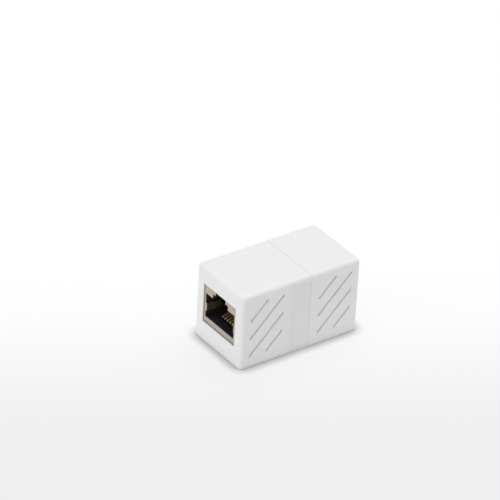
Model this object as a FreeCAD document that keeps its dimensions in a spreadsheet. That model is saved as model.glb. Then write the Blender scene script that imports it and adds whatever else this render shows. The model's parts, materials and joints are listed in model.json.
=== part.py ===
import FreeCAD, Part
import math
import os
import re

import Sketcher

# Inline coupler: two shielded eight-contact sockets, back to back on a small circuit board,
# in a moulded housing of two shells that snap together.
# +X runs along the length, +Y across the width, +Z up. The origin is the middle of the base.
# The left socket's mouth faces -X. Each socket is drawn once, in the left one's place, and the
# right one is the same part turned half a turn about the Z axis.

SIZES = {
    # the socket: what a plug goes into
    "socket_width": ("11.9", "cavity for the plug body, across"),
    "socket_height": ("6.6", "cavity for the plug body, up"),
    "socket_depth": ("11", "front of the socket to the back of its cavity"),
    "socket_floor": ("1.65", "board to the cavity's floor"),
    "key_width": ("6.3", "lower step of the latch keyway, across"),
    "key_height": ("1.2", "lower step of the latch keyway, up"),
    "latch_width": ("4.1", "upper step of the latch keyway, across"),
    "latch_height": ("0.55", "upper step of the latch keyway, up"),
    "latch_lip": ("1.5", "front wall that the latch catches behind"),
    "lip_length": ("2.6", "front of the socket to the contacts' tray"),
    "back_block": ("4.4", "back of the cavity to the back of the socket"),
    # the insulating liner and the folded metal shield round it
    "liner_wall": ("0.35", "side wall of the liner"),
    "liner_roof": ("0.3", "roof of the liner over the keyway"),
    "liner_fit": ("0.05", "gap between liner, carrier and shield"),
    "post_radius": ("0.7", "liner's locating post"),
    "post_spot": ("5.5", "front of the socket to the locating posts"),
    "shield_sheet": ("0.25", "sheet metal of the shield"),
    "shield_gap": ("0.3", "board to the lower edge of the shield's front"),
    "finger_length": ("4.4", "grounding finger, front to back"),
    "finger_height": ("2.2", "grounding finger, up"),
    "finger_low": ("1.6", "cavity's floor to the grounding finger"),
    "finger_bow": ("0.3", "how far the grounding finger bows into the cavity"),
    "finger_crest": ("2.4", "front of the socket to where the finger bows most"),
    "finger_tip": ("0.1", "how far the finger's tip stays bowed in"),
    "finger_bend": ("0.2", "bend where the finger leaves the shield's front"),
    "finger_fit": ("0.06", "gap between the grounding finger and the liner"),
    "tab_width": ("1.2", "shield's solder tab"),
    "tab_front": ("7", "front of the socket to the first solder tab"),
    "tab_step": ("5", "first solder tab to the second"),
    "fold_slit": ("0.12", "slit beside the shield's folded back wall"),
    "fold_top": ("0.6", "top of the shield to the upper end of the slit"),
    "lock_spot": ("8.5", "front of the socket to the windows that lock the shield"),
    "lock_length": ("2", "lock window, front to back"),
    "lock_low": ("2", "cavity's floor to the lock window"),
    "lock_height": ("1.6", "lock window, up"),
    "lock_fit": ("0.1", "gap between a lock window and the liner's catch"),
    # the contacts and the carrier that holds them
    "contact_count": ("8", "contacts in a socket"),
    "contact_pitch": ("1.02", "contact to contact"),
    "contact_width": ("0.45", "contact wire, across"),
    "contact_thick": ("0.3", "contact wire, thickness"),
    "contact_fit": ("0.1", "gap between a contact and the carrier"),
    "contact_lift": ("0.35", "board to the middle of the contact's flat run"),
    "contact_bend": ("0.35", "bend of a contact, at the wire's middle"),
    "contact_front": ("3.6", "front of the socket to the contact's upright"),
    "contact_drop": ("0.2", "cavity's floor down to the contact's upper bend"),
    "contact_tip": ("2.2", "cavity's floor up to the contact's tip"),
    "contact_reach": ("0.6", "how far the tip reaches into the rear comb"),
    "comb_depth": ("0.9", "depth of the rear comb's slots"),
    "comb_height": ("3.2", "cavity's floor to the top of the rear comb's slots"),
    "comb_length": ("1.6", "front comb that parts the contacts, front to back"),
    "comb_drop": ("0.1", "cavity's floor down to the top of the front comb"),
    "tray_wall": ("0.35", "carrier's tray above the contacts' flat run"),
    "tray_edge": ("0.37", "carrier beyond the outer contacts"),
    "carrier_side": ("0.4", "liner beside the carrier's rear block"),
    "carrier_top": ("0.3", "cavity's top down to the carrier's rear block"),
    "tail_back": ("1.5", "back of the socket to the rear row of tails"),
    "tail_step": ("2.54", "rear row of tails to the front row"),
    "tail_stub": ("0.9", "tails and tabs below the board"),
    # the circuit board
    "board_thick": ("1.6", "circuit board"),
    "board_lift": ("1.7", "housing floor to the board"),
    "board_fit": ("0.1", "gap between the board and the housing"),
    "hole_fit": ("0.1", "gap round what passes through the board"),
    "tail_hole": ("0.4", "a tail's hole, half its width"),
    # the housing
    "jack_recess": ("0.3", "end face of the housing to the shield's front"),
    "jack_gap": ("3.6", "between the backs of the two sockets"),
    "jack_fit": ("0.1", "gap between a socket and the housing"),
    "side_room": ("1", "gap beside the socket to the housing's side wall"),
    "head_room": ("2.7", "gap above the socket to the housing's top wall"),
    "side_wall": ("2", "side wall"),
    "top_wall": ("1.8", "top wall"),
    "floor_wall": ("2", "floor"),
    "end_wall": ("1.6", "end wall round the socket"),
    "mouth_break": ("0.15", "rounded edge of the hole for the socket"),
    "corner_round": ("1", "upright corners"),
    "top_round": ("0.9", "top edges"),
    "bottom_round": ("0.2", "bottom edges"),
    "rib_thick": ("1.2", "ribs that hold a socket down"),
    "rib_front": ("3.4", "front of the socket to the first rib"),
    "rib_step": ("5.7", "first rib to the second"),
    "ledge_width": ("0.75", "ledges that carry the board"),
    "belt_width": ("5.6", "recessed belt across each side, up to the shells' seam"),
    "belt_depth": ("0.12", "depth of the belt"),
    "belt_top": ("1.3", "top to the upper end of the belt"),
    "seam_break": ("0.1", "chamfer round each shell where they meet"),
    "tongue_length": ("3", "left shell's tongue inside the right shell"),
    "tongue_thick": ("0.9", "left shell's tongue"),
    "tongue_fit": ("0.1", "gap round the tongue"),
    "snap_height": ("0.3", "snap ridge on the tongue"),
    "snap_width": ("6", "snap ridge, up and down"),
    "snap_spot": ("0.8", "seam to the snap ridge"),
    "snap_flat": ("0.4", "flat crest of the snap ridge"),
    # the slanting grooves on the sides
    "groove_width": ("0.56", "groove"),
    "groove_depth": ("0.5", "groove"),
    "groove_slant": ("45", "degrees up from the base"),
    "groove_step": ("5", "groove to groove, measured upright"),
    "groove_bottom": ("3", "base to the lowest groove end"),
    "groove_top": ("2.5", "top to the highest groove end"),
    "groove_belt_gap": ("2.45", "belt to the grooves"),
    "groove_end_gap": ("2.5", "end face to the grooves"),
}

# Places worked out from the sizes, as expressions that the document's features are bound to.
JACK_LENGTH = "(socket_depth + back_block)"
END = "(jack_gap / 2 + socket_depth + back_block + jack_recess)"
JACK_FRONT = "(-jack_gap / 2 - socket_depth - back_block)"
JACK_BACK = "(-jack_gap / 2)"
CAVITY_BACK = "(-jack_gap / 2 - back_block)"
SOCKET_HALF = "(socket_width / 2)"
LINER_HALF = "(socket_width / 2 + liner_wall)"
JACK_HALF = "(socket_width / 2 + liner_wall + liner_fit + shield_sheet)"
INNER_HALF = f"({JACK_HALF} + jack_fit + side_room)"
OUTER_HALF = f"({JACK_HALF} + jack_fit + side_room + side_wall)"
BOARD_LOW = "(floor_wall + board_lift)"
BOARD_TOP = "(floor_wall + board_lift + board_thick)"
JACK_LOW = f"({BOARD_TOP} + liner_fit)"
FLOOR = f"({BOARD_TOP} + socket_floor)"
CAVITY_TOP = f"({FLOOR} + socket_height)"
KEY_TOP = f"({CAVITY_TOP} + key_height)"
LATCH_TOP = f"({KEY_TOP} + latch_height)"
LINER_TOP = f"({LATCH_TOP} + liner_roof)"
JACK_TOP = f"({LINER_TOP} + liner_fit + shield_sheet)"
CEILING = f"({JACK_TOP} + jack_fit + head_room)"
TOP = f"({JACK_TOP} + jack_fit + head_room + top_wall)"
TRAY_HALF = "(contact_pitch * contact_count / 2 + tray_edge)"
RUN_TOP = f"({BOARD_TOP} + contact_lift + contact_thick / 2 + contact_fit)"
TAIL_LOW = f"({BOARD_LOW} - tail_stub)"
PARTING = "(belt_width / 2)"

# A groove's blunt end as three flats: steps back from the tip and across, in half widths.
GROOVE_END = ((1, 1), (0.13, 0.5), (0.13, -0.5), (1, -1))

AXIS_Z = FreeCAD.Vector(0, 0, 1)
HALF_TURN = FreeCAD.Placement(FreeCAD.Vector(), FreeCAD.Rotation(AXIS_Z, 180))
AS_DRAWN = FreeCAD.Placement()

doc = FreeCAD.newDocument("inline_coupler")
sheet = doc.addObject("Spreadsheet::Sheet", "sizes")
for row, (alias, (value, note)) in enumerate(SIZES.items(), start=1):
    sheet.set(f"A{row}", note)
    sheet.set(f"B{row}", value)
    sheet.setAlias(f"B{row}", alias)
doc.recompute()


def bound(text):
    """The expression with each size's name pointing at its cell in the sheet."""
    return re.sub(r"[a-z_]+", lambda word: f"sizes.{word[0]}" if word[0] in SIZES else word[0], text)


def measure(text):
    """The expression's value now."""
    return float(sheet.evalExpression(bound(text)))


# ---- sketches ----

def hold(shape, end, x, y):
    """The ties that bind one point of a sketch's shape to the expressions x and y."""
    return [(Sketcher.Constraint("DistanceX", -1, 1, shape, end, measure(x)), x),
            (Sketcher.Constraint("DistanceY", -1, 1, shape, end, measure(y)), y)]


def set_radius(shape, radius):
    """The tie that binds the radius of a sketch's arc or circle."""
    return (Sketcher.Constraint("Radius", shape, measure(radius)), radius)


def free_tie(*words):
    """A tie with no size of its own, such as a tangent."""
    return (Sketcher.Constraint(*words), None)


def fasten(sketch, ties):
    """Add all of a sketch's constraints at once and bind those that have an expression."""
    numbers = sketch.addConstraint([constraint for constraint, _ in ties])
    for number, (_, text) in zip(numbers, ties):
        if text is not None:
            sketch.setExpression(f"Constraints[{number}]", bound(text))


def corner_arc(before, corner, after, radius):
    """The arc that rounds a corner, with the numbers of the ends where it is entered and left."""
    back = (before - corner).normalize()
    on = (after - corner).normalize()
    half = back.getAngle(on) / 2
    centre = corner + (back + on).normalize() * (radius / math.sin(half))
    first = corner + back * (radius / math.tan(half))
    last = corner + on * (radius / math.tan(half))
    turns_left = back.cross(on).z < 0
    start, stop = (first, last) if turns_left else (last, first)
    angles = [math.atan2(p.y - centre.y, p.x - centre.x) for p in (start, stop)]
    circle = Part.Circle(centre, AXIS_Z, radius)
    arc = Part.ArcOfCircle(circle, angles[0], angles[1])
    return arc, first, last, (1, 2) if turns_left else (2, 1)


def trace(sketch, corners, closed=True):
    """Draw straight edges through the corners and return the ties that hold them.

    A corner is (x, y), or (x, y, radius) to round it."""
    spots = [FreeCAD.Vector(measure(c[0]), measure(c[1]), 0) for c in corners]
    count = len(corners)
    arcs = {}
    for i, corner in enumerate(corners):
        if len(corner) == 3:
            radius = measure(corner[2])
            arcs[i] = corner_arc(spots[i - 1], spots[i], spots[(i + 1) % count], radius)
    edges = count if closed else count - 1
    lines = []
    for i in range(edges):
        j = (i + 1) % count
        start = arcs[i][2] if i in arcs else spots[i]
        stop = arcs[j][1] if j in arcs else spots[j]
        lines.append(sketch.addGeometry(Part.LineSegment(start, stop), False))
    ties = []
    for i, corner in enumerate(corners):
        into = lines[i - 1] if closed or i > 0 else None
        out = lines[i] if i < edges else None
        if i in arcs:
            arc, _, _, (enter, leave) = arcs[i]
            bend = sketch.addGeometry(arc, False)
            point = sketch.addGeometry(Part.Point(spots[i]), True)
            ties += [free_tie("Tangent", into, 2, bend, enter),
                     free_tie("Tangent", bend, leave, out, 1),
                     free_tie("PointOnObject", point, 1, into),
                     free_tie("PointOnObject", point, 1, out),
                     set_radius(bend, corner[2]),
                     *hold(point, 1, corner[0], corner[1])]
        elif into is None:
            ties += hold(out, 1, corner[0], corner[1])
        elif out is None:
            ties += hold(into, 2, corner[0], corner[1])
        else:
            ties += [free_tie("Coincident", into, 2, out, 1), *hold(out, 1, corner[0], corner[1])]
    return ties


def box(x0, x1, y0, y1, *radius):
    """The corners of an upright rectangle, rounded if a radius is given."""
    return [(x, y, *radius) for x, y in ((x0, y0), (x1, y0), (x1, y1), (x0, y1))]


def octagon(x, y, radius):
    """The corners of an eight-sided hole that a circle of the radius just fits."""
    return [(f"{x} + ({radius}) * cos({angle} deg) / cos(22.5 deg)",
             f"{y} + ({radius}) * sin({angle} deg) / cos(22.5 deg)")
            for angle in (22.5 + 45 * turn for turn in range(8))]


def origin_feature(body, role):
    return next(f for f in body.Origin.OriginFeatures if f.Role == role)


def draw(body, name, plane, start, outlines, circles=(), closed=True):
    """A sketch on one of the body's own planes, moved by start along the plane's normal."""
    sketch = body.newObject("Sketcher::SketchObject", f"{name}_sketch")
    sketch.AttachmentSupport = (origin_feature(body, plane), [""])
    sketch.MapMode = "FlatFace"
    sketch.setExpression("AttachmentOffset.Base.z", bound(start))
    ties = []
    for corners in outlines:
        ties += trace(sketch, corners, closed)
    for x, y, radius in circles:
        circle = sketch.addGeometry(Part.Circle(FreeCAD.Vector(measure(x), measure(y), 0),
                                                AXIS_Z, measure(radius)), False)
        ties += [*hold(circle, 3, x, y), set_radius(circle, radius)]
    fasten(sketch, ties)
    return sketch


# ---- features ----

def new_body(label, placement):
    body = doc.addObject("PartDesign::Body", label)
    body.Label = label
    body.Placement = placement
    return body


def add(body, name, plane, start, length, outlines, circles=(), side="One side"):
    """Pad the outlines along the plane's normal."""
    pad = body.newObject("PartDesign::Pad", name)
    pad.Profile = draw(body, name, plane, start, outlines, circles)
    pad.setExpression("Length", bound(length))
    pad.SideType = side
    doc.recompute()
    return pad


def cut(body, name, plane, start, length, outlines, side="One side", forward=True):
    """Pocket the outlines along the plane's normal, or against it, and see that it removes metal."""
    before = body.Shape.Volume
    pocket = body.newObject("PartDesign::Pocket", name)
    pocket.Profile = draw(body, name, plane, start, outlines)
    pocket.setExpression("Length", bound(length))
    pocket.SideType = side
    pocket.Reversed = forward
    doc.recompute()
    if body.Shape.Volume >= before:
        raise RuntimeError(f"{body.Label}: {name} cuts nothing")
    return pocket


def mirror(body, name, originals):
    """Repeat features on the other side of the body's XZ plane."""
    copy = body.newObject("PartDesign::Mirrored", name)
    copy.Originals = originals
    copy.MirrorPlane = (origin_feature(body, "XZ_Plane"), [""])
    body.Tip = copy
    doc.recompute()
    return copy


def repeat(body, name, original, step, count, backwards=False):
    """Repeat a feature along the body's Y axis."""
    pattern = body.newObject("PartDesign::LinearPattern", name)
    pattern.Originals = [original]
    pattern.Direction = (origin_feature(body, "Y_Axis"), [""])
    pattern.Reversed = backwards
    pattern.setExpression("Length", bound(f"({step}) * ({count} - 1)"))
    pattern.setExpression("Occurrences", bound(count))
    body.Tip = pattern
    doc.recompute()
    return pattern


def ease(body, name, kind, size, wanted):
    """Fillet or chamfer the edges of the body's last feature that pass the test."""
    base = body.Tip
    edges = [f"Edge{i}" for i, edge in enumerate(base.Shape.Edges, start=1) if wanted(edge)]
    feature = body.newObject(f"PartDesign::{kind}", name)
    feature.Base = (base, edges)
    feature.setExpression("Radius" if kind == "Fillet" else "Size", bound(size))
    doc.recompute()


def near(one, other):
    return abs(one - other) < 1e-4


# ---- housing shells ----

def shell_block(body, closes_at):
    """The rounded outside of a shell, from its end face to where it meets the other shell."""
    add(body, "block", "XY_Plane", "0", TOP,
        [box(f"-{END}", closes_at, f"-{OUTER_HALF}", OUTER_HALF)])
    end, top, close = measure(f"-{END}"), measure(TOP), measure(closes_at)

    def on_end_corner(edge):
        limits = edge.BoundBox
        return near(limits.XMax, end) and near(limits.ZLength, top)

    def on_rim(height):
        def test(edge):
            limits = edge.BoundBox
            flat = near(limits.ZMin, height) and near(limits.ZMax, height)
            return flat and not near(limits.XMin, close)
        return test

    def on_seam(edge):
        return near(edge.BoundBox.XMin, close) and near(edge.BoundBox.XMax, close)

    ease(body, "upright_corners", "Fillet", "corner_round", on_end_corner)
    ease(body, "top_edges", "Fillet", "top_round", on_rim(top))
    ease(body, "bottom_edges", "Fillet", "bottom_round", on_rim(0))
    ease(body, "seam_edges", "Chamfer", "seam_break", on_seam)


def shell_inside(body, closes_at, ledge_to):
    """The hollow, the hole for the socket, the board's ledges and the ribs that hold the socket."""
    cut(body, "hollow", "YZ_Plane", f"-{END} + end_wall", f"{closes_at} + {END} - end_wall",
        [box(f"-{INNER_HALF}", INNER_HALF, "floor_wall", CEILING)])
    reach = f"{JACK_HALF} + jack_fit"
    cut(body, "mouth", "YZ_Plane", f"-{END}", "end_wall",
        [box(f"-({reach})", reach, f"{BOARD_TOP} - jack_fit", f"{JACK_TOP} + jack_fit")])
    end, hole = measure(f"-{END}"), measure(reach)

    def on_mouth(edge):
        limits = edge.BoundBox
        return near(limits.XMin, end) and near(limits.XMax, end) and limits.YMax < hole + 1e-4 \
            and limits.YMin > -hole - 1e-4

    ease(body, "mouth_edge", "Fillet", "mouth_break", on_mouth)
    ledge = add(body, "ledge", "XY_Plane", "floor_wall", "board_lift",
                [box(f"-{END} + end_wall / 2", ledge_to,
                     f"{INNER_HALF} - ledge_width", f"{INNER_HALF} + side_wall / 4")])
    mirror(body, "ledges", [ledge])
    for number in range(2):
        spot = f"{JACK_FRONT} + rib_front + rib_step * {number}"
        outside = f"{INNER_HALF} + side_wall / 4"
        low, crown = f"{BOARD_TOP} + board_fit", f"{JACK_TOP} + jack_fit"
        arch = [(f"-({outside})", low), (f"-({reach})", low), (f"-({reach})", crown),
                (reach, crown), (reach, low), (outside, low),
                (outside, f"{CEILING} + top_wall / 4"),
                (f"-({outside})", f"{CEILING} + top_wall / 4")]
        add(body, f"rib_{number + 1}", "YZ_Plane", spot, "rib_thick", [arch])


def groove_outline(number, start, direction):
    """One slanting groove, blunt at both ends, of a group that starts at x and runs in a direction."""
    slope = "tan(groove_slant * 1 deg)"
    run = f"({END} - {PARTING} - groove_belt_gap - groove_end_gap)"
    rise = f"(groove_step * {number})"
    height = f"({TOP} - groove_top - groove_bottom)"
    first = f"max(0; ({rise} - {height}) / {slope})"
    last = f"min({run}; {rise} / {slope})"
    cosine, sine = "cos(groove_slant * 1 deg)", "sin(groove_slant * 1 deg)"
    corners = []
    for along, inward in ((first, 1), (last, -1)):
        for back, across in GROOVE_END:
            u = f"({inward * back} * groove_width / 2)"
            v = f"({inward * across} * groove_width / 2)"
            x = f"{along} + {u} * {cosine} - {v} * {sine}"
            z = f"({along}) * {slope} + {u} * {sine} + {v} * {cosine}"
            corners.append((f"{start} + {direction} * ({x})", f"{TOP} - groove_top - {rise} + {z}"))
    return corners


def shell_grooves(body):
    """Slanting grooves on both sides: from either side they rise to the right."""
    run = measure(f"{END} - {PARTING} - groove_belt_gap - groove_end_gap")
    height = measure(f"{TOP} - groove_top - groove_bottom")
    slope = math.tan(math.radians(measure("groove_slant")))
    count = int((run * slope + height - measure("groove_width") * 2) / measure("groove_step"))
    near_end = f"(-{END} + groove_end_gap)"
    near_belt = f"(-{PARTING} - groove_belt_gap)"
    for name, start, direction, plane_at, forward in (
            ("front_grooves", near_end, 1, OUTER_HALF, False),
            ("back_grooves", near_belt, -1, f"-{OUTER_HALF}", True)):
        cut(body, name, "XZ_Plane", plane_at, "groove_depth",
            [groove_outline(i + 1, start, direction) for i in range(count)], forward=forward)


def snap_profile(start, direction, face, swell):
    """The snap ridge seen from above; swell makes it larger all round, for its pocket."""
    foot = f"({start} + {direction} * (snap_spot - {swell}))"
    low, high = f"({face} - tongue_thick / 4)", f"({face} + snap_height + {swell})"
    ramp = f"(snap_flat + snap_height + 2 * ({swell}))"
    return [(foot, low), (foot, high),
            (f"{foot} + {direction} * (snap_flat + 2 * ({swell}))", high),
            (f"{foot} + {direction} * ({ramp} + snap_height)", low)]


def ring_section(swell):
    """The tongue's outer outline, seen along X."""
    return box(f"-{INNER_HALF} - tongue_thick - {swell}", f"{INNER_HALF} + tongue_thick + {swell}",
               f"floor_wall - tongue_thick - {swell}", f"{CEILING} + tongue_thick + {swell}")


def make_left_shell():
    """The longer shell, with the belt on both sides and the tongue that enters the other shell."""
    body = new_body("housing_left", AS_DRAWN)
    shell_block(body, PARTING)
    shell_inside(body, PARTING, PARTING)
    belt = cut(body, "belt", "XZ_Plane", OUTER_HALF, "belt_depth",
               [box(f"-{PARTING}", PARTING, "-bottom_round", f"{TOP} - belt_top")], forward=False)
    mirror(body, "belts", [belt])
    add(body, "tongue", "YZ_Plane", f"{PARTING} - tongue_thick", "tongue_length + tongue_thick", [
        ring_section("0"), box(f"-{INNER_HALF}", INNER_HALF, "floor_wall", CEILING)])
    middle = f"({TOP} - snap_width) / 2"
    ridge = add(body, "snap_ridge", "XY_Plane", middle, "snap_width",
                [snap_profile(PARTING, 1, f"({INNER_HALF} + tongue_thick)", "0")])
    mirror(body, "snap_ridges", [ridge])
    shell_grooves(body)
    return body


def make_right_shell():
    """The shorter shell, drawn with its end face at -X and turned into place."""
    body = new_body("housing_right", HALF_TURN)
    rebate = f"(-{PARTING} - tongue_length - tongue_fit)"
    shell_block(body, f"-{PARTING}")
    shell_inside(body, f"-{PARTING}", rebate)
    cut(body, "rebate", "YZ_Plane", rebate, "tongue_length + tongue_fit",
        [ring_section("tongue_fit")])
    middle = f"({TOP} - snap_width) / 2 - tongue_fit"
    for side, name in ((1, "far_snap_pocket"), (-1, "near_snap_pocket")):
        outline = snap_profile(f"(-{PARTING})", -1, f"({INNER_HALF} + tongue_thick)", "tongue_fit")
        cut(body, name, "XY_Plane", middle, "snap_width + 2 * tongue_fit",
            [[(x, f"{side} * {y}") for x, y in outline]])
    shell_grooves(body)
    return body


# ---- sockets ----

def mouth_outline(latch_top):
    """The plug's cavity with the stepped keyway for its latch, seen along X."""
    right = [(SOCKET_HALF, FLOOR), (SOCKET_HALF, CAVITY_TOP), ("key_width / 2", CAVITY_TOP),
             ("key_width / 2", KEY_TOP), ("latch_width / 2", KEY_TOP),
             ("latch_width / 2", latch_top)]
    left = [(f"-{y}", z) for y, z in reversed(right)]
    return right + left


def make_shield(label, placement):
    """The folded metal can: front frame, top, sides and back, fingers and solder tabs."""
    body = new_body(label, placement)
    add(body, "can", "YZ_Plane", JACK_FRONT, JACK_LENGTH,
        [box(f"-{JACK_HALF}", JACK_HALF, BOARD_TOP, JACK_TOP)])
    inside = f"{JACK_HALF} - shield_sheet"
    cut(body, "inside", "YZ_Plane", f"{JACK_FRONT} + shield_sheet",
        f"{JACK_LENGTH} - 2 * shield_sheet",
        [box(f"-({inside})", inside, BOARD_LOW, f"{JACK_TOP} - shield_sheet")])
    cut(body, "front_opening", "YZ_Plane", JACK_FRONT, "shield_sheet",
        [mouth_outline(f"{JACK_TOP} + shield_sheet")])
    cut(body, "latch_notch", "YZ_Plane", JACK_FRONT, "latch_lip",
        [box("-latch_width / 2", "latch_width / 2", LATCH_TOP, f"{JACK_TOP} + shield_sheet")])
    cut(body, "front_gap", "YZ_Plane", JACK_FRONT, "shield_sheet",
        [box(f"-({inside})", inside, BOARD_LOW, f"{BOARD_TOP} + shield_gap")])
    cut(body, "fold_slits", "YZ_Plane", f"{JACK_BACK} - shield_sheet", "shield_sheet",
        [box(f"{side} * ({inside} - fold_slit)", f"{side} * ({inside})", BOARD_LOW,
             f"{JACK_TOP} - fold_top") for side in (1, -1)])
    window = f"({JACK_FRONT} + lock_spot)"
    cut(body, "lock_windows", "XZ_Plane", "0", f"2 * {JACK_HALF}",
        [box(window, f"{window} + lock_length", f"{FLOOR} + lock_low",
             f"{FLOOR} + lock_low + lock_height")], side="Symmetric")
    tabs = []
    for number in range(2):
        spot = f"{JACK_FRONT} + tab_front + tab_step * {number}"
        tabs.append(add(body, f"tab_{number + 1}", "XY_Plane", TAIL_LOW,
                        "board_thick + tail_stub + shield_sheet",
                        [box(f"{spot} - tab_width / 2", f"{spot} + tab_width / 2",
                             inside, JACK_HALF)]))
    wall = f"({SOCKET_HALF} - finger_fit)"
    front, sheet_back = JACK_FRONT, f"{JACK_FRONT} + shield_sheet"
    crest, tip = f"{JACK_FRONT} + finger_crest", f"{JACK_FRONT} + finger_length"
    strip = [
        (front, f"{SOCKET_HALF} + shield_sheet"),
        (front, f"{wall} - shield_sheet", "finger_bend"),
        (crest, f"{wall} - shield_sheet - finger_bow", "finger_length"),
        (tip, f"{wall} - shield_sheet - finger_tip"),
        (tip, f"{wall} - finger_tip"),
        (crest, f"{wall} - finger_bow", "finger_length"),
        (sheet_back, wall),
        (sheet_back, f"{SOCKET_HALF} + shield_sheet")]
    finger = add(body, "finger", "XY_Plane", f"{FLOOR} + finger_low", "finger_height", [strip])
    mirror(body, "other_side", tabs + [finger])
    return body


def make_liner(label, placement):
    """The insulating jack body inside the shield, open at the back for the contact carrier."""
    body = new_body(label, placement)
    front = f"({JACK_FRONT} + shield_sheet + liner_fit)"
    back = f"({JACK_BACK} - shield_sheet - liner_fit)"
    add(body, "block", "YZ_Plane", front, f"{back} - {front}",
        [box(f"-{LINER_HALF}", LINER_HALF, JACK_LOW, LINER_TOP)])
    cut(body, "cavity", "YZ_Plane", front, f"{CAVITY_BACK} - {front}", [mouth_outline(LATCH_TOP)])
    cut(body, "latch_pocket", "YZ_Plane", f"{JACK_FRONT} + latch_lip",
        f"{CAVITY_BACK} - {JACK_FRONT} - latch_lip",
        [box("-key_width / 2", "key_width / 2", CAVITY_TOP, LATCH_TOP)])
    cut(body, "tray_bay", "YZ_Plane", f"{JACK_FRONT} + lip_length",
        f"{back} - {JACK_FRONT} - lip_length",
        [box(f"-{TRAY_HALF} - liner_fit", f"{TRAY_HALF} + liner_fit",
             BOARD_TOP, f"{FLOOR} + socket_height / 4")])
    block_half = f"({SOCKET_HALF} - carrier_side + liner_fit)"
    cut(body, "rear_bay", "YZ_Plane", CAVITY_BACK, f"{back} - {CAVITY_BACK}",
        [box(f"-{block_half}", block_half, BOARD_TOP, f"{CAVITY_TOP} - carrier_top + liner_fit")])
    post_y = f"({TRAY_HALF} + liner_fit + {LINER_HALF}) / 2"
    post = add(body, "post", "XY_Plane", BOARD_LOW, "board_thick + liner_fit * 2", [],
               [(f"{JACK_FRONT} + post_spot", post_y, "post_radius")])
    foot = f"({JACK_FRONT} + lock_spot + lock_fit)"
    heel = f"({JACK_FRONT} + lock_spot + lock_length - lock_fit)"
    root, crest = f"{LINER_HALF} - liner_wall / 2", f"{LINER_HALF} + liner_fit + shield_sheet"
    catch = add(body, "catch", "XY_Plane", f"{FLOOR} + lock_low + lock_fit",
                "lock_height - 2 * lock_fit",
                [[(foot, root), (foot, LINER_HALF), (f"{foot} + shield_sheet * 2", crest),
                  (heel, crest), (heel, root)]])
    mirror(body, "posts_and_catches", [post, catch])
    return body


def make_carrier(label, placement):
    """The insert that the contacts are laid in: tray, front comb and rear block with its comb."""
    body = new_body(label, placement)
    back = f"({JACK_BACK} - shield_sheet - liner_fit)"
    comb_front = f"({JACK_FRONT} + lip_length + liner_fit)"
    comb_back = f"({comb_front} + comb_length)"
    upright_back = f"({JACK_FRONT} + contact_front + contact_thick / 2 + contact_fit)"
    add(body, "tray", "YZ_Plane", comb_front, f"{back} - {comb_front}",
        [box(f"-{TRAY_HALF}", TRAY_HALF, JACK_LOW, f"{RUN_TOP} + tray_wall")])
    add(body, "front_comb", "YZ_Plane", comb_front, "comb_length",
        [box(f"-{TRAY_HALF}", TRAY_HALF, JACK_LOW, f"{FLOOR} - comb_drop")])
    block_half = f"({SOCKET_HALF} - carrier_side)"
    block_front = f"({CAVITY_BACK} + liner_fit)"
    add(body, "rear_block", "YZ_Plane", block_front, f"{back} - {block_front}",
        [box(f"-{block_half}", block_half, JACK_LOW, f"{CAVITY_TOP} - carrier_top")])
    slot_end = f"{JACK_BACK} - tail_back + contact_thick / 2 + contact_fit"
    tray_top, nose = f"{RUN_TOP} + tray_wall", "contact_bend - contact_thick / 2"
    channel = [
        (f"{comb_front} - comb_length", BOARD_TOP), (f"{comb_front} - comb_length", FLOOR),
        (f"{comb_back} + contact_fit", FLOOR), (f"{comb_back} + contact_fit", tray_top),
        (upright_back, tray_top), (upright_back, RUN_TOP, nose),
        (slot_end, RUN_TOP), (slot_end, BOARD_TOP)]
    rear_slot = box(CAVITY_BACK, f"{block_front} + comb_depth", tray_top, f"{FLOOR} + comb_height")
    first = "-contact_pitch * (contact_count - 1) / 2"
    lane = cut(body, "lane", "XZ_Plane", f"-({first})", "contact_width + 2 * contact_fit",
               [channel, rear_slot], side="Symmetric")
    repeat(body, "lanes", lane, "contact_pitch", "contact_count")
    return body


def tail_spot(number):
    """Where a contact's tail meets the board, along X: the rows are staggered."""
    return f"({JACK_BACK} - tail_back - tail_step * {number % 2})"


def contact_y(number):
    return f"(contact_pitch * ({number} - (contact_count - 1) / 2))"


def make_contact(label, placement, number):
    """One spring contact: tail, flat run, bend round the tray's nose and the sloping spring."""
    body = new_body(label, placement)
    tail, y = tail_spot(number), contact_y(number)
    run = f"{BOARD_TOP} + contact_lift"
    front = f"{JACK_FRONT} + contact_front"
    route = [
        (tail, TAIL_LOW), (tail, run, "contact_bend"), (front, run, "contact_bend"),
        (front, f"{FLOOR} - contact_drop", "contact_bend"),
        (f"{CAVITY_BACK} + contact_reach", f"{FLOOR} + contact_tip")]
    path = draw(body, "route", "XZ_Plane", f"-{y}", [route], closed=False)
    section = draw(body, "section", "XY_Plane", TAIL_LOW, [
        box(f"{tail} - contact_thick / 2", f"{tail} + contact_thick / 2",
            f"{y} - contact_width / 2", f"{y} + contact_width / 2")])
    wire = body.newObject("PartDesign::AdditivePipe", "wire")
    wire.Profile = section
    wire.Spine = (path, [""])
    doc.recompute()
    length = path.Shape.Length
    expected = length * measure("contact_width * contact_thick")
    if abs(body.Shape.Volume / expected - 1) > 0.01:
        raise RuntimeError(f"{label}: swept volume is off")
    return body


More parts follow.
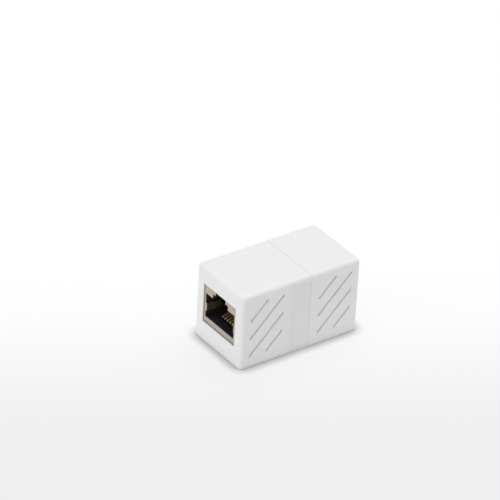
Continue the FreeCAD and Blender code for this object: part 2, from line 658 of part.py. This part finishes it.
def make_board():
    """The circuit board, with eight-sided holes for tails and posts, and slots for solder tabs."""
    body = new_body("circuit_board", AS_DRAWN)
    end = f"({END} - end_wall - board_fit)"
    side = f"({INNER_HALF} - board_fit)"
    add(body, "plate", "XY_Plane", BOARD_LOW, "board_thick", [box(f"-{end}", end, f"-{side}", side)])
    post_y = f"(({TRAY_HALF} + liner_fit + {LINER_HALF}) / 2)"
    tab_y = f"({JACK_HALF} - shield_sheet / 2)"
    for turn, socket in ((1, "left"), (-1, "right")):
        passages = [octagon(f"{turn} * ({JACK_FRONT} + post_spot)", post_y,
                            "post_radius + hole_fit")]
        for number in range(2):
            x = f"{turn} * ({JACK_FRONT} + tab_front + tab_step * {number})"
            passages.append(box(f"{x} - tab_width / 2 - hole_fit", f"{x} + tab_width / 2 + hole_fit",
                                f"{tab_y} - shield_sheet / 2 - hole_fit",
                                f"{tab_y} + shield_sheet / 2 + hole_fit"))
        one_side = cut(body, f"{socket}_passages", "XY_Plane", BOARD_LOW, "board_thick", passages)
        mirror(body, f"{socket}_passages_mirrored", [one_side])
        for row in range(2):
            first = f"-contact_pitch * ((contact_count - 1) / 2 - {row})"
            name = f"{socket}_tail_hole_{row + 1}"
            hole = cut(body, name, "XY_Plane", BOARD_LOW, "board_thick",
                       [octagon(f"{turn} * {tail_spot(row)}", f"{turn} * ({first})", "tail_hole")])
            repeat(body, f"{name}_row", hole, "2 * contact_pitch",
                   f"ceil((contact_count - {row}) / 2)", backwards=turn < 0)
    return body


def make_all():
    bodies = [make_left_shell(), make_right_shell(), make_board()]
    for side, placement in (("left", AS_DRAWN), ("right", HALF_TURN)):
        bodies.append(make_shield(f"shield_{side}", placement))
        bodies.append(make_liner(f"liner_{side}", placement))
        bodies.append(make_carrier(f"contact_carrier_{side}", placement))
        for number in range(int(measure("contact_count"))):
            bodies.append(make_contact(f"contact_{side}_{number + 1}", placement, number))
    return bodies


def check_document(bodies):
    """Stop if any object failed or any body isn't one sound solid."""
    for item in doc.Objects:
        if "Invalid" in item.State or "Error" in item.State:
            raise RuntimeError(f"{item.Label}: {item.State}")
    for body in bodies:
        shape = body.Shape
        if shape.isNull() or not shape.isValid() or len(shape.Solids) != 1:
            raise RuntimeError(f"{body.Label}: not one sound solid")


def write_parts(bodies):
    os.makedirs("parts", exist_ok=True)
    for body in bodies:
        body.Shape.exportStep(f"parts/{body.Label}.step")


all_bodies = make_all()
doc.recompute()
check_document(all_bodies)
write_parts(all_bodies)
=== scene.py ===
import json
import math

import bpy
from mathutils import Matrix, Vector


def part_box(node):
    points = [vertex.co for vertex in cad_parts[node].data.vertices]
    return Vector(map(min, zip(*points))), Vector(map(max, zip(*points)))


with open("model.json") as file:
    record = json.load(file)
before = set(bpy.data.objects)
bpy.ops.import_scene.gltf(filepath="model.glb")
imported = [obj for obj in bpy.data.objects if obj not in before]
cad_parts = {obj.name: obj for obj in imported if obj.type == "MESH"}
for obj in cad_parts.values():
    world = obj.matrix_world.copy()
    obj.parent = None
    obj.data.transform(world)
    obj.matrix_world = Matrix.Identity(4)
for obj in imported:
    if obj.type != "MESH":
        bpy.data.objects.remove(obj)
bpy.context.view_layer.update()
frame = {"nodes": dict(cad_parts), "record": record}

MM = 0.001               # lengths are in metres, angles in degrees, and lamps in watts
WHITE = (1, 1, 1)

# The camera looks at a point near the part, along an axis that is turned, tilted and rolled.
CAMERA_TURN = 36.84      # from +Y towards +X
CAMERA_TILT = 32.20      # down
CAMERA_ROLL = 3.21       # right side up
CAMERA_DISTANCE = 0.9036
CAMERA_AIM = Vector((-0.0028, 0.0085, 0.0198))
CAMERA_LENS = 266.85     # in millimetres, like the sensor's width
CAMERA_SENSOR = 36.0
CAMERA_CLIP = (0.01, 30)

# The light: a white sky, and soft boxes that face a point: name, place, sides and watts of each.
SKY_STRENGTH = 0.655
LIGHT_AIM = Vector((0, 0, 0))
SOFT_BOXES = (
    ("overhead", (0.18, 0.08, 0.88), (0.9, 0.9), 4.2),
    ("side", (-0.9, 0, 0.1), (0.6, 0.6), 2.6),
)

# The floor's glow is painted light, a little darker towards the front, where lamp light falls
# off. It changes along one direction. Each tone is the distance along it, and the glow.
FLOOR_TURN = 30.7        # from +Y towards +X
FLOOR_PAINTED_GLOW = ((-0.046, 0.632), (-0.034, 0.644), (-0.015, 0.692), (0.005, 0.742), (0.032, 0.770),
               (0.060, 0.790))
FLOOR_REACH = 6.0        # from the origin to each side
FLOOR_GREY = (0.20, 0.20, 0.20, 1)

# The belt across each side of the housing: how deep it lies, and the painted shade that darkens
# its floor.
BELT_DEPTH = 0.12 * MM
BELT_PAINTED_SHADE = (0.972, 0.968, 0.967)

# The darkest and the lightest tone of each material.
HOUSING_TONES = ((0.775, 0.770, 0.772), (0.795, 0.792, 0.792))
BLACK_TONES = ((0.018, 0.018, 0.019), (0.028, 0.028, 0.029))
NICKEL_TONES = ((0.42, 0.37, 0.305), (0.51, 0.455, 0.385))
GOLD_TONES = ((0.90, 0.64, 0.27), (1.0, 0.78, 0.40))
MASK_TONES = ((0.012, 0.13, 0.05), (0.02, 0.19, 0.075))

# Shading: rays to round an edge and to find a crevice, and how faces share their normals.
EDGE_SAMPLES = 6
CREVICE_SAMPLES = 8
SHARP_ANGLE = 32         # edges that turn more than this stay sharp
LARGE_FACE_WEIGHT = 80   # how far large faces outweigh small ones, 50 being even


# ---- node helpers ----

class Graph:
    """A material's node tree, with short calls to add and join nodes."""

    def __init__(self, name):
        self.material = bpy.data.materials.new(name)
        self.material.use_nodes = True
        self.tree = self.material.node_tree
        self.tree.nodes.clear()
        self.shader = self.node("ShaderNodeBsdfPrincipled")
        output = self.node("ShaderNodeOutputMaterial")
        self.join(self.shader, "BSDF", output, "Surface")
        self.place = self.node("ShaderNodeTexCoord")

    def node(self, kind, **settings):
        """Add a node with its settings."""
        made = self.tree.nodes.new(kind)
        for key, value in settings.items():
            setattr(made, key, value)
        return made

    def join(self, source, output, target, socket):
        """Link an output of one node to a socket of another."""
        self.tree.links.new(source.outputs[output], target.inputs[socket])

    def noise(self, scale, detail, roughness, stretch=None):
        """Noise in object space; scale is in features a metre, stretch multiplies it by axis."""
        made = self.node("ShaderNodeTexNoise")
        made.inputs["Scale"].default_value = scale
        made.inputs["Detail"].default_value = detail
        made.inputs["Roughness"].default_value = roughness
        if stretch is None:
            self.join(self.place, "Object", made, "Vector")
        else:
            mapping = self.node("ShaderNodeMapping")
            mapping.inputs["Scale"].default_value = stretch
            self.join(self.place, "Object", mapping, "Vector")
            self.join(mapping, "Vector", made, "Vector")
        return made

    def ramp(self, source, output, low, high, tones):
        """Colours from the first tone at low to the second at high."""
        made = self.node("ShaderNodeValToRGB")
        for stop, position, tone in zip(made.color_ramp.elements, (low, high), tones):
            stop.position = position
            stop.color = (*tone, 1)
        self.join(source, output, made, "Fac")
        return made

    def roughen(self, source, low, high):
        """Let a pattern set the shader's roughness, from low to high."""
        made = self.node("ShaderNodeMapRange")
        made.inputs["To Min"].default_value = low
        made.inputs["To Max"].default_value = high
        self.join(source, "Fac", made, "Value")
        self.join(made, "Result", self.shader, "Roughness")

    def worn_edge(self, radius):
        """The surface's direction, turned smoothly round its sharp edges."""
        made = self.node("ShaderNodeBevel", samples=EDGE_SAMPLES)
        made.inputs["Radius"].default_value = radius
        return made

    def crevice(self, reach, power):
        """1 on open surface, falling towards 0 in gaps narrower than reach; power sharpens it."""
        made = self.node("ShaderNodeAmbientOcclusion", samples=CREVICE_SAMPLES)
        made.inputs["Distance"].default_value = reach
        curve = self.node("ShaderNodeMath", operation="POWER")
        curve.inputs[1].default_value = power
        self.join(made, "AO", curve, 0)
        return curve

    def within(self, axis, centre, reach):
        """1 where the distance from the middle, along an axis, is within reach of centre."""
        split = self.node("ShaderNodeSeparateXYZ")
        self.join(self.place, "Object", split, 0)
        distance = self.node("ShaderNodeMath", operation="ABSOLUTE")
        self.join(split, axis, distance, 0)
        made = self.node("ShaderNodeMath", operation="COMPARE")
        made.inputs[1].default_value = centre
        made.inputs[2].default_value = reach
        self.join(distance, "Value", made, 0)
        return made

    def multiply(self, one, one_output, other, other_output):
        """The product of two colours, or of a colour and a value."""
        made = self.node("ShaderNodeVectorMath", operation="MULTIPLY")
        self.join(one, one_output, made, 0)
        self.join(other, other_output, made, 1)
        return made

    def bump(self, source, strength, distance, after=None):
        """Relief from a pattern, as deep as distance, on top of the relief or edge in after."""
        made = self.node("ShaderNodeBump")
        made.inputs["Strength"].default_value = strength
        made.inputs["Distance"].default_value = distance
        self.join(source, "Fac", made, "Height")
        if after is not None:
            self.join(after, "Normal", made, "Normal")
        return made

    def set(self, **values):
        """Set the shader's own sockets; an underscore stands for a space."""
        for key, value in values.items():
            self.shader.inputs[key.replace("_", " ")].default_value = value


# ---- materials ----

def moulded_plastic(name, tones, smoothest, roughest, edge):
    """Moulded plastic with a fine spark-eroded grain and slight unevenness."""
    g = Graph(name)
    drift = g.noise(scale=90, detail=3, roughness=0.55)
    g.colour = g.ramp(drift, "Fac", low=0.3, high=0.7, tones=tones)
    g.join(g.colour, "Color", g.shader, "Base Color")
    g.roughen(g.noise(scale=1400, detail=2, roughness=0.6), low=smoothest, high=roughest)
    unevenness = g.noise(scale=160, detail=1, roughness=0.4)
    waves = g.bump(unevenness, strength=0.25, distance=0.05 * MM, after=g.worn_edge(edge))
    grain = g.noise(scale=9000, detail=3, roughness=0.6)
    fine = g.bump(grain, strength=0.5, distance=0.006 * MM, after=waves)
    g.join(fine, "Normal", g.shader, "Normal")
    return g


def housing_plastic():
    """White plastic, with painted shade that makes the floor of the recessed belt a shade darker.
    """
    g = moulded_plastic("housing_plastic", HOUSING_TONES, smoothest=0.50, roughest=0.62,
                        edge=0.12 * MM)
    seam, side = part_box("housing_right")[0][0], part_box("housing_right")[1][1]
    # Painted shade: the floor of the recessed belt is coloured a shade darker than the rest.
    belt = g.node("ShaderNodeMath", operation="MULTIPLY")
    g.join(g.within("X", 0, seam), "Value", belt, 0)
    g.join(g.within("Y", side - BELT_DEPTH, BELT_DEPTH / 2), "Value", belt, 1)
    shade = g.ramp(belt, "Value", low=0, high=1, tones=(WHITE, BELT_PAINTED_SHADE))
    g.join(g.multiply(g.colour, "Color", shade, "Color"), "Vector", g.shader, "Base Color")
    g.set(IOR=1.5, Subsurface_Weight=0.15, Subsurface_Scale=0.4 * MM,
          Subsurface_Radius=(1.0, 0.96, 0.92))
    return g.material


def black_plastic(name):
    """The darker, glossier plastic of the liners and the contact carriers."""
    g = moulded_plastic(name, BLACK_TONES, smoothest=0.35, roughest=0.5, edge=0.07 * MM)
    g.set(IOR=1.5)
    return g.material


def plated_sheet():
    """Nickel-plated sheet with rolling marks, a little haze, and painted shade in its corners."""
    g = Graph("plated_sheet")
    haze = g.noise(scale=500, detail=4, roughness=0.6)
    colour = g.ramp(haze, "Fac", low=0.25, high=0.75, tones=NICKEL_TONES)
    # Painted shade: the colour darkens in corners and in the gaps against other parts.
    painted_crevice_shade = g.crevice(reach=0.6 * MM, power=0.7)
    g.join(g.multiply(colour, "Color", painted_crevice_shade, "Value"), "Vector", g.shader, "Base Color")
    rolled = g.noise(scale=1, detail=3, roughness=0.6, stretch=(400, 9000, 9000))
    g.roughen(rolled, low=0.22, high=0.42)
    marks = g.bump(rolled, strength=0.3, distance=0.004 * MM, after=g.worn_edge(0.06 * MM))
    g.join(marks, "Normal", g.shader, "Normal")
    g.set(Metallic=1.0)
    return g.material


def gold_plating():
    """Gold over drawn wire, with faint lines along it."""
    g = Graph("gold_plating")
    haze = g.noise(scale=1500, detail=3, roughness=0.6)
    colour = g.ramp(haze, "Fac", low=0.3, high=0.7, tones=GOLD_TONES)
    g.join(colour, "Color", g.shader, "Base Color")
    drawn = g.noise(scale=1, detail=2, roughness=0.5, stretch=(500, 14000, 14000))
    g.roughen(drawn, low=0.36, high=0.5)
    marks = g.bump(drawn, strength=0.2, distance=0.003 * MM, after=g.worn_edge(0.14 * MM))
    g.join(marks, "Normal", g.shader, "Normal")
    g.set(Metallic=0.88)
    return g.material


def solder_mask():
    """Green lacquer over a glass weave."""
    g = Graph("solder_mask")
    weave = g.node("ShaderNodeTexChecker")
    weave.inputs["Scale"].default_value = 1500
    g.join(g.place, "Object", weave, "Vector")
    haze = g.noise(scale=700, detail=3, roughness=0.6)
    colour = g.ramp(haze, "Fac", low=0.3, high=0.7, tones=MASK_TONES)
    g.join(colour, "Color", g.shader, "Base Color")
    g.join(g.bump(weave, strength=0.15, distance=0.01 * MM), "Normal", g.shader, "Normal")
    g.set(Roughness=0.28, Coat_Weight=0.4, Coat_Roughness=0.15)
    return g.material


def floor_painted_light():
    """A white sweep that glows with painted light, a little darker towards the front, with a
    painted contact shadow round what stands on it.
    """
    g = Graph("floor_painted_light")
    # Painted light: the floor's glow grows along one direction, darker towards the front.
    turn = math.radians(FLOOR_TURN)
    along = g.node("ShaderNodeVectorMath", operation="DOT_PRODUCT")
    along.inputs[1].default_value = (math.sin(turn), math.cos(turn), 0)
    g.join(g.place, "Object", along, 0)
    first, last = FLOOR_PAINTED_GLOW[0][0], FLOOR_PAINTED_GLOW[-1][0]
    share = g.node("ShaderNodeMapRange")
    share.inputs["From Min"].default_value = first
    share.inputs["From Max"].default_value = last
    g.join(along, "Value", share, "Value")
    tones = g.node("ShaderNodeValToRGB")
    g.join(share, "Result", tones, "Fac")
    stops = tones.color_ramp.elements
    stops.remove(stops[1])
    for number, (place, tone) in enumerate(FLOOR_PAINTED_GLOW):
        stop = stops.new((place - first) / (last - first)) if number else stops[0]
        stop.color = (tone, tone, tone, 1)
    # Painted contact shadow: the glow darkens close to what stands on the floor.
    painted_shadow = g.crevice(reach=2.8 * MM, power=1.45)
    painted_glow_and_shadow = g.multiply(tones, "Color", painted_shadow, "Value")
    g.join(painted_glow_and_shadow, "Vector", g.shader, "Emission Color")
    g.set(Base_Color=FLOOR_GREY, Roughness=0.9, Emission_Strength=1.0)
    return g.material


def dress_nodes():
    """Give each CAD node the material of its slot, and smooth its shading."""
    finishes = {
        "housing": housing_plastic(),
        "shield": plated_sheet(),
        "liner": black_plastic("liner_plastic"),
        "carrier": black_plastic("carrier_plastic"),
        "contact": gold_plating(),
        "board": solder_mask(),
    }
    slots = {row["node"]: row["material_slot"] for row in frame["record"]["subparts"]}
    for name, node in frame["nodes"].items():
        node.data.materials.clear()
        node.data.materials.append(finishes[slots[name]])
        smooth_shading(node)


def smooth_shading(piece):
    """Smooth across shallow edges and keep flat faces flat."""
    piece.data.shade_smooth()
    piece.data.set_sharp_from_angle(angle=math.radians(SHARP_ANGLE))
    weighted = piece.modifiers.new("weighted_normals", "WEIGHTED_NORMAL")
    weighted.keep_sharp = True
    weighted.weight = LARGE_FACE_WEIGHT


# ---- stage ----

def add_object(name, data):
    """Put data in the scene as an object."""
    holder = bpy.data.objects.new(name, data)
    bpy.context.scene.collection.objects.link(holder)
    return holder


def make_floor():
    """The plain floor that the part stands on."""
    signs = ((-1, -1), (1, -1), (1, 1), (-1, 1))
    corners = [(x * FLOOR_REACH, y * FLOOR_REACH, 0) for x, y in signs]
    mesh = bpy.data.meshes.new("floor")
    mesh.from_pydata(corners, [], [(0, 1, 2, 3)])
    mesh.materials.append(floor_painted_light())
    floor = add_object("floor", mesh)


def soft_box(name, place, sides, watts):
    """A lamp with a flat, even face, turned towards LIGHT_AIM."""
    lamp = bpy.data.lights.new(name, "AREA")
    lamp.shape = "RECTANGLE"
    lamp.size, lamp.size_y = sides
    lamp.energy = watts
    holder = add_object(name, lamp)
    holder.location = place
    holder.rotation_mode = "QUATERNION"
    holder.rotation_quaternion = (LIGHT_AIM - Vector(place)).to_track_quat("-Z", "Y")


def make_light():
    """The studio's sky and lamps."""
    world = bpy.data.worlds.new("studio")
    world.use_nodes = True
    sky = world.node_tree.nodes["Background"]
    sky.inputs["Color"].default_value = (*WHITE, 1)
    sky.inputs["Strength"].default_value = SKY_STRENGTH
    bpy.context.scene.world = world
    for box in SOFT_BOXES:
        soft_box(*box)


def make_camera():
    """The camera at the photograph's angle, with plain tones."""
    turn, tilt, roll = (math.radians(a) for a in (CAMERA_TURN, CAMERA_TILT, CAMERA_ROLL))
    look = Vector((math.cos(tilt) * math.sin(turn), math.cos(tilt) * math.cos(turn),
                   -math.sin(tilt)))
    level_right = Vector((math.cos(turn), -math.sin(turn), 0))
    level_up = level_right.cross(look)
    right = level_right * math.cos(roll) + level_up * math.sin(roll)
    up = level_up * math.cos(roll) - level_right * math.sin(roll)
    camera = bpy.data.cameras.new("camera")
    camera.lens, camera.sensor_width = CAMERA_LENS, CAMERA_SENSOR
    camera.clip_start, camera.clip_end = CAMERA_CLIP
    holder = add_object("camera", camera)
    turned = Matrix((right, up, -look)).transposed().to_4x4()
    holder.matrix_world = Matrix.Translation(CAMERA_AIM - look * CAMERA_DISTANCE) @ turned
    bpy.context.scene.camera = holder
    bpy.context.scene.view_settings.view_transform = "Standard"


dress_nodes()
make_floor()
make_light()
make_camera()
